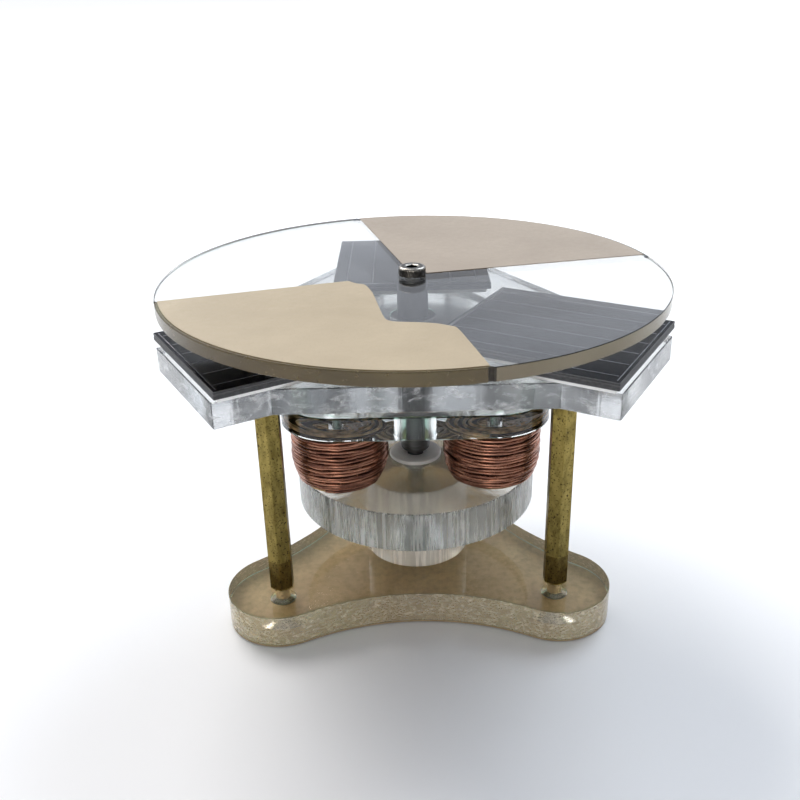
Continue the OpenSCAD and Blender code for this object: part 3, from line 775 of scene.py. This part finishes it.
B = Build()
for a in (LEFT, RIGHT, REAR):
    countersunk(B, *pol(COIL_R, a), Z_CHAMBER, 1, 1.5, 3.0, 28.0, 2.0)
B.make("coil_core_screws", [STEEL, STEEL_EDGE, SOCKET], "stand", ("core_screws",))


def lead_points(a):
    side = -1 if a == LEFT else 1
    out = []
    for q in (75, 60):
        lx, ly = pol(10.65, q * side)
        out.append(arm_pt(a, COIL_R + lx, ly))
    return out


def top_outline(steps=40):
    out = []
    for a in (REAR, LEFT, RIGHT):
        cx, cy = pol(COIL_R, a)
        for i in range(steps + 1):
            x, y = pol(13.7, a - 60 + 120 * i / steps)
            out.append((cx + x, cy + y))
    return out


TOP = top_outline()
B = Build()
zt, zb = Z_CHAMBER - 0.02, Z_TOP + 0.02
holes = [(0, 0, [(5.35, zt), (5.2, zt - 0.15), (5.2, zb + 0.15), (5.35, zb)], "through")]
holes += [(*pol(COIL_R, a), [(3.11, zt), (1.6, zt - 1.53), (1.6, zb)], "through") for a in (LEFT, RIGHT, REAR)]
holes += [(*p, [(0.8, zt), (0.8, zb)], "through") for a in (LEFT, RIGHT, REAR) for p in lead_points(a)]
solid(B, TOP, zb, zt, 0.3, holes, top=0, side=1, bottom=0, edge=2, hole_mat=3, n=36)
B.make("clear_coil_plate", [FACE, PLATE_WALL, SAWN, BORE], "stand", ("coil_top_plate",))

B = Build()
zt, zb = Z_CARRIER - 0.02, Z_CHAMBER + 0.02
holes = [(0, 0, [(21.0, zt), (21.0, zb)], "through")]
holes += [(*p, [(0.8, zt), (0.8, zb)], "through") for a in (LEFT, RIGHT, REAR) for p in lead_points(a)]
solid(B, TOP, zb, zt, 0.2, holes, top=0, side=1, bottom=0, edge=2, hole_mat=1, n=72)
B.make("clear_magnet_chamber", [FACE, SAWN, SAWN_SOFT], "stand", ("magnet_chamber",))

# ------------------------------------------------------------------ carrier, foam, cells

ARM_HALF, ARM_OUT, BODY_FLAT = 18.5, 58.1, 38.6
root = (BODY_FLAT - ARM_HALF * math.sin(math.radians(60))) / 0.5
CARRIER = []
for a in (REAR, LEFT, RIGHT):
    CARRIER += [arm_pt(a, r, t) for r, t in ((root, -ARM_HALF), (ARM_OUT, -ARM_HALF), (ARM_OUT, ARM_HALF), (root, ARM_HALF))]
CARRIER = rounded(CARRIER, 0.45, 4)

B = Build()
zt, zb = Z_FOAM - 0.02, Z_CARRIER + 0.02
holes = [(0, 0, [(5.65, zt), (5.52, zt - 0.18), (5.52, zb)], "through")]
holes += [(*pol(STANDOFF_R, a), [(3.11, zt), (1.6, zt - 1.53), (1.6, zb)], "through") for a in (LEFT, RIGHT, REAR)]
holes += [(*p, [(0.8, zt), (0.8, zb)], "through") for a in (LEFT, RIGHT, REAR) for p in lead_points(a)]
solid(B, CARRIER, zb, zt, 0.2, holes, top=0, side=1, bottom=0, edge=1, hole_mat=2, n=36)
B.make("clear_carrier", [ARM_FACE, ARM_WALL, BORE], "stand", ("carrier_plate",))

B = Build()
prof = [(3.73, 63.85), (6.4, 63.85), (6.48, 64.0), (6.48, 64.5), (6.4, 64.58), (5.5, 64.58), (5.5, 70.4), (5.3, 70.56), (4.0, 70.56), (3.73, 70.3)]
B.lathe(prof, n=96, closed=True)
B.make("acetal_upper_bearing", [ACETAL], "stand", ("upper_bearing",))

B = Build()
for a in (LEFT, RIGHT, REAR):
    countersunk(B, *pol(STANDOFF_R, a), Z_FOAM - 0.02, 1, 1.5, 3.0, 12.0, 2.0)
B.make("carrier_fixing_screws", [STEEL, STEEL_EDGE, SOCKET], "stand", ("carrier_screws",))

B = Build()
for i, a in enumerate((LEFT, RIGHT, REAR)):
    w = wave(31 + i, 30, 1.0)
    loop = []
    e, h, k0 = 15.4, 19.2, 56.9
    for (r0, t0), (r1, t1), m in (((e, -h), (k0, -h), 40), ((k0, -h), (k0, h), 36), ((k0, h), (e, h), 40), ((e, h), (e, -h), 36)):
        for k in range(m):
            u = k / m
            loop.append((r0 + (r1 - r0) * u, t0 + (t1 - t0) * u))
    wob = 0.10 * w(np.linspace(0, 30, len(loop)))
    cen = np.array([36.25, 0.0])
    loop = [tuple(cen + (np.array(p) - cen) * (1 - abs(q) / 20)) for p, q in zip(loop, wob)]
    B_holes = [(*p, [(0.8, 71.77), (0.8, 70.62)], "through") for p in lead_points(a)]
    solid(B, [arm_pt(a, r, t) for r, t in loop], 70.62, 71.77, 0.2, B_holes, n=24)
foam = B.make("foam_tape_pads", [FOAM], "stand", ("foam_pads",))


def cell(name, a):
    B = Build()

    def slab(r0, r1, t, z0, z1, ch, mats, rad=0.25):
        pts = rounded([(r0, -t), (r1, -t), (r1, t), (r0, t)], rad, 4)
        solid(B, [arm_pt(a, r, q) for r, q in pts], z0, z1, ch, (), top=mats[0], side=mats[1], bottom=mats[1], edge=mats[2])

    slab(14.4, 57.9, 20.25, 71.8, 72.72, 0.08, (0, 0, 1))
    slab(14.52, 57.78, 20.13, 72.72, 72.90, 0.02, (1, 1, 1))
    slab(14.42, 57.88, 20.23, 72.90, 73.57, 0.14, (2, 0, 1))
    for k in range(6):
        t = -16.75 + 6.7 * k
        pts = [(16.1, t - 0.14), (56.5, t - 0.14), (56.5, t + 0.14), (16.1, t + 0.14)]
        solid(B, [arm_pt(a, r, q) for r, q in pts], 73.572, 73.598, 0.008, (), top=3, side=3, bottom=3, edge=3)
    for r0, r1 in ((15.0, 15.8), (56.8, 57.05)):
        pts = [(r0, -19.2), (r1, -19.2), (r1, 19.2), (r0, 19.2)]
        solid(B, [arm_pt(a, r, q) for r, q in pts], 73.572, 73.598, 0.008, (), top=3, side=3, bottom=3, edge=3)
    B.make("solar_module_" + name, [CELL_SIDE, CELL_LINE, SILICON, FINGER], "stand", ("solar_cell_" + name,))


for k, a in ARMS.items():
    cell(k, a)

B = Build()
for i, a in enumerate((LEFT, RIGHT, REAR)):
    for j, (x, y) in enumerate(lead_points(a)):
        t = np.linspace(0, 1, 46)
        wx, wy = wave(60 + i * 4 + j, 4, 1.7), wave(80 + i * 4 + j, 4, 1.7)
        fade = np.clip(np.minimum(t, 1 - t) * 6, 0, 1)
        B.tube(np.stack([x + 0.28 * wx(t * 6) * fade, y + 0.28 * wy(t * 6) * fade, 50.7 + 21.05 * t], 1), 0.38, 8, 0)
B.make("coil_lead_wires", [COPPER], "stand", ("cell_leads",), angle=60)

# ------------------------------------------------------------------ disc and films

# the four sector edges
EDGE = (12.0, 104.3, 196.0, 283.0)


def disc_outline():
    out = []
    n = 360
    for i in range(n):
        a = 360.0 * i / n
        if min(abs((a - e + 180) % 360 - 180) for e in EDGE) > 0.7:
            out.append((a, [pol(59.985, a)]))
    for a0 in EDGE:
        c, s = math.cos(math.radians(a0)), math.sin(math.radians(a0))
        pts = []
        for k in range(9):
            phi = math.radians(250.3 - (250.3 - 109.7) * k / 8)
            r, t = 60.2 + 0.6 * math.cos(phi), 0.6 * math.sin(phi)
            pts.append((r * c - t * s, r * s + t * c))
        out.append((a0, pts))
    out.sort(key=lambda e: e[0])
    return [p for _, pts in out for p in pts]


def smooth(pts, n=6):
    """A curve through the points."""
    p = [np.array(q, float) for q in pts]
    p = [2 * p[0] - p[1]] + p + [2 * p[-1] - p[-2]]
    out = []
    for i in range(1, len(p) - 2):
        a, b, c, d = p[i - 1 : i + 3]
        for k in range(n):
            t = k / n
            out.append(tuple(0.5 * (2 * b + (c - a) * t + (2 * a - 5 * b + 4 * c - d) * t**2 + (3 * b - a - 3 * c + d) * t**3)))
    out.append(tuple(p[-2]))
    return out


FILM_R = 59.2
CUT = smooth([(8.35, -37.0), (4.3, -34.7), (0.4, -33.8), (-3.9, -33.1), (-5.7, -31.8), (-6.5, -29), (-7.4, -23.8), (-8.9, -14.6), (-10, -10.2), (-11.2, -7.3), (-13.0, -6.4), (-14.9, -4.35)])


def spread(a, b, n):
    return [a + (b - a) * i / n for i in range(1, n)]


FRONT = [pol(r, EDGE[2]) for r in np.linspace(18, FILM_R, 12)]
FRONT += [pol(FILM_R, q) for q in spread(EDGE[2], EDGE[3], 90)]
FRONT += [pol(r, EDGE[3]) for r in np.linspace(FILM_R, 40.5, 8)]
FRONT += CUT
HUB_R = 3.45
REAR_FILM = [pol(r, EDGE[0]) for r in np.linspace(HUB_R, FILM_R, 16)]
REAR_FILM += [pol(FILM_R, q) for q in spread(EDGE[0], EDGE[1], 90)]
REAR_FILM += [pol(r, EDGE[1]) for r in np.linspace(FILM_R, HUB_R, 16)]
REAR_FILM += [pol(HUB_R, q) for q in spread(EDGE[1], EDGE[0], 10)]


def inside(poly, x, y):
    hit = False
    for i in range(len(poly)):
        (x0, y0), (x1, y1) = poly[i - 1], poly[i]
        if (y0 > y) != (y1 > y) and x < (x1 - x0) * (y - y0) / (y1 - y0) + x0:
            hit = not hit
    return hit


B = Build()
DISC = disc_outline()
CH = 0.15
small = inset(DISC, CH)
r0 = B.add([(x, y, Z_FILM) for x, y in small])
r1 = B.add([(x, y, Z_FILM - CH) for x, y in DISC])
r2 = B.add([(x, y, Z_DISC + CH) for x, y in DISC])
r3 = B.add([(x, y, Z_DISC + 0.02) for x, y in small])


def rim(a, b, clear):
    """One band of the rim, with the film's painted reflection where a film lies above it, the given material elsewhere,
    and painted shade at the notches.
    """
    for i in range(len(a)):
        j = (i + 1) % len(a)
        q = math.degrees(math.atan2(B.v[a[i]][1], B.v[a[i]][0])) % 360
        m = 4 if EDGE[2] < q < EDGE[3] else 5 if EDGE[0] < q < EDGE[1] else clear
        if min(abs((q - e + 180) % 360 - 180) for e in EDGE) < 0.6:
            m = 7
        B.face((a[i], a[j], b[j], b[i]), m)


rim(r0, r1, 2)
rim(r1, r2, 6)
rim(r2, r3, 2)
h0, h1 = B.ring(0, 0, Z_FILM, 2.1, 48), B.ring(0, 0, Z_DISC + 0.02, 2.1, 48)
B.bridge(h0, h1, 1)
B.cap([r3, h1], 0)
# the top face is cut along the films' borders, so that the glass under them carries their underside
pts = [Vector(B.v[i][:2]) for i in r0] + [Vector(B.v[i][:2]) for i in h0]
edges = [(i, (i + 1) % len(r0)) for i in range(len(r0))]
k0 = len(r0)
edges += [(k0 + i, k0 + (i + 1) % 48) for i in range(48)]
for loop in (FRONT, REAR_FILM):
    k = len(pts)
    pts += [Vector(p) for p in loop]
    edges += [(k + i, k + (i + 1) % len(loop)) for i in range(len(loop))]
ov, oe, of, orig, _, _ = delaunay_2d_cdt(pts, edges, [], 0, 1e-6)
idx = []
for p, src in zip(ov, orig):
    own = [s for s in src if s < k0 + 48]
    idx.append((r0 + h0)[own[0]] if own else B.add([(p[0], p[1], Z_FILM)])[0])
for f in of:
    cx, cy = sum(ov[i][0] for i in f) / len(f), sum(ov[i][1] for i in f) / len(f)
    if math.hypot(cx, cy) < 2.09 or not inside(small, cx, cy):
        continue
    q = math.degrees(math.atan2(cy, cx)) % 360
    m = 3 if inside(FRONT, cx, cy) or inside(REAR_FILM, cx, cy) else 0
    # the top face's border strip outside each film carries the rim's painted reflection of that film
    if m == 0 and math.hypot(cx, cy) > FILM_R - 0.02:
        m = 4 if EDGE[2] < q < EDGE[3] else 5 if EDGE[0] < q < EDGE[1] else 0
    B.face([idx[i] for i in f], m)
B.make("clear_shutter_disc", [FACE, SAWN_SOFT, SAWN, FILM_UNDER, DISC_RIM_FRONT_REFLECTION, DISC_RIM_REAR_REFLECTION, DISC_RIM_OPEN_REFLECTION, NOTCH_SHADE], "rotor", ("shutter_disc",))

for name, loop, m in (("front", FRONT, FILM), ("rear", REAR_FILM, FILM_REAR)):
    B = Build()
    solid(B, loop, Z_FILM + 0.015, Z_FILM + 0.15, 0.03, ())
    B.make("film_" + name, [m], "rotor", ("shutter_film_" + name,))

# ------------------------------------------------------------------ hub and rotor


def hub_screw():
    B = Build()
    n, R = 160, 3.25

    def knurl(k, a):
        # grooves that lean over as they rise
        return -0.10 * (0.5 + 0.5 * math.cos(36 * a + 1.1 * (k - 3))) if 3 <= k <= 8 else 0.0

    prof = [(1.98, 82.62), (3.0, 82.62), (3.2, 82.72), (R, 82.85), (R, 83.12), (R, 83.4), (R, 83.68), (R, 83.96), (R, 84.24), (3.16, 84.5), (2.9, 84.74), (2.55, 84.8)]
    rows = B.lathe(prof, n=n, mats=[0, 0, 0, 0, 0, 0, 0, 0, 1, 1, 1], ripple=knurl)
    h0 = B.ring(0, 0, 84.8, 1.75, n)
    B.cap([rows[-1], h0], 0)

    def hexr(t):
        return min(1.3 / math.cos(((t + math.pi / 6) % (math.pi / 3)) - math.pi / 6), 1.5)

    # cone from the round mouth into the hexagon
    turn = [2 * math.pi * i / n for i in range(n)]
    q0 = B.add([(hexr(t) * math.cos(t), hexr(t) * math.sin(t), 84.6) for t in turn])
    q1 = B.add([(B.v[i][0], B.v[i][1], 83.6) for i in q0])
    B.bridge(h0, q0, 1)
    B.bridge(q0, q1, 2)
    B.fan(q1, 2)
    B.fan(B.ring(0, 0, 82.62, 1.98, n), 0)
    thread(B, 82.7, 67.6, 2.0, 0.7, 0)
    return B.make("hub_cap_screw", [DARK, DARK_EDGE, SOCKET], "rotor", ("hub_screw",), angle=35)


hub_screw()

B = Build()
prof = [(0, 29.9), (1.7, 29.9), (2.0, 30.2), (2.0, 36.6), (2.9, 36.6), (3.3, 36.72), (3.6, 37.05), (3.7, 37.5)]
prof += [(3.7, z) for z in np.linspace(40, 79.3, 12)] + [(3.5, 79.58), (2.25, 79.58), (2.02, 79.4), (2.02, 66.6), (0, 66.6)]
# above 62 mm the shaft takes the painted shade colour
B.lathe(prof, n=96, mats=[1 if z > 62 else 0 for _, z in prof])
B.make("steel_shaft", [SHAFT, SHAFT_TOP_SHADE], "rotor", ("shaft",))

B = Build()
B.lathe([(3.72, 60.63), (19.3, 60.63), (19.5, 60.8), (19.5, 62.4), (19.3, 62.6), (3.9, 62.6), (3.72, 62.45)], n=160, closed=True)
B.make("rotor_back_plate", [PLATE_STEEL], "rotor", ("rotor_plate",))

B = Build()
for k in range(4):
    cx, cy = pol(13.2, 45 + 90 * k)
    B.lathe([(0, 57.6), (5.7, 57.6), (5.92, 57.68), (6.0, 57.9), (6.0, 60.3), (5.92, 60.52), (5.7, 60.6), (0, 60.6)], cx, cy, 72)
B.make("disc_magnets", [NICKEL], "rotor", ("rotor_magnets",))

B = Build()
B.lathe([(3.72, 57.62), (6.3, 57.62), (6.5, 57.8), (6.5, 60.4), (6.3, 60.58), (3.72, 60.58)], n=72, closed=True)
B.make("brass_rotor_collar", [BRASS_EDGE], "rotor", ("rotor_collar",))

B = Build()
B.move = lambda x, y, z: (3.76 + z, y, 59.1 + x)
B.lathe([(0, 0), (0.7, 0), (0.8, 0.12), (0.8, 2.5), (0.7, 2.6), (0.5, 2.6), (0.45, 2.5), (0.45, 1.8), (0, 1.8)], n=24)
B.make("collar_grub_screw", [DARK], "rotor", ("rotor_set_screw",))

# ------------------------------------------------------------------ stage


def floor():
    me = bpy.data.meshes.new("floor")
    s = 40.0
    me.from_pydata([(-s, -s, -0.0002), (s, -s, -0.0002), (s, s, -0.0002), (-s, s, -0.0002)], [], [(0, 1, 2, 3)])
    m = Mat("floor_paper")
    n1 = m.noise(0.004, 3.0)
    m.link(m.ramp(n1, [(0.3, (0.86, 0.865, 0.885)), (0.7, (0.90, 0.90, 0.91))]), "Base Color")
    m.set(Roughness=0.75)
    m.b.inputs["Specular IOR Level"].default_value = 0.25
    # painted light: the sheet glows, more the farther it lies behind the object, standing in for the backdrop that
    # curves up in the light far behind it
    sep = m.t.nodes.new("ShaderNodeSeparateXYZ")
    m.t.links.new(m.tc.outputs["Object"], sep.inputs[0])
    m.link(m.span(sep.outputs["Y"], 0.10, 0.9, 0.0, 0.55), "Emission Strength")
    m.b.inputs["Emission Color"].default_value = (1.0, 1.0, 1.0, 1.0)
    me.materials.append(m.m)
    o = bpy.data.objects.new("floor", me)
    bpy.context.scene.collection.objects.link(o)


floor()


def area(name, loc, size, power, colour=(1, 1, 1), target=(0, 0, 0.04)):
    d = bpy.data.lights.new(name, "AREA")
    d.shape, d.size, d.energy, d.color = "DISK", size, power, colour
    o = bpy.data.objects.new(name, d)
    o.location = loc
    o.rotation_mode = "QUATERNION"
    o.rotation_quaternion = (Vector(target) - Vector(loc)).to_track_quat("-Z", "Y")
    bpy.context.scene.collection.objects.link(o)


area("window", (-1.75, 2.65, 3.4), 2.9, 180.0, (1.0, 0.98, 0.94))
area("side_window", (1.85, 2.5, 3.2), 2.8, 104.0, (0.82, 0.91, 1.0))
area("front_fill", (-0.5, -2.6, 0.22), 1.1, 14.0, (1.0, 0.96, 0.90))


def world():
    w = bpy.data.worlds.new("studio")
    bpy.context.scene.world = w
    w.use_nodes = True
    t = w.node_tree
    bg = t.nodes["Background"]
    tc = t.nodes.new("ShaderNodeTexCoord")
    sep = t.nodes.new("ShaderNodeSeparateXYZ")
    t.links.new(tc.outputs["Generated"], sep.inputs[0])
    # brighter behind and above the object, darker on the side that the viewer stands on
    mr = t.nodes.new("ShaderNodeMapRange")
    mr.interpolation_type = "SMOOTHSTEP"
    for k, v in zip(("From Min", "From Max", "To Min", "To Max"), (-0.5, 0.85, 0.0, 1.0)):
        mr.inputs[k].default_value = v
    t.links.new(sep.outputs["Y"], mr.inputs["Value"])
    ramp = t.nodes.new("ShaderNodeValToRGB")
    e = ramp.color_ramp.elements
    e[0].position, e[0].color = 0.0, (0.37, 0.37, 0.38, 1)
    e[1].position, e[1].color = 1.0, (0.62, 0.65, 0.72, 1)
    t.links.new(mr.outputs["Result"], ramp.inputs["Fac"])
    t.links.new(ramp.outputs["Color"], bg.inputs["Color"])
    bg.inputs["Strength"].default_value = 1.0


world()

sc = bpy.context.scene
sc.view_settings.view_transform = "Standard"
sc.view_settings.look = "None"
sc.cycles.max_bounces = 24
sc.cycles.transmission_bounces = 20
sc.cycles.transparent_max_bounces = 16
sc.cycles.glossy_bounces = 8
sc.cycles.diffuse_bounces = 4
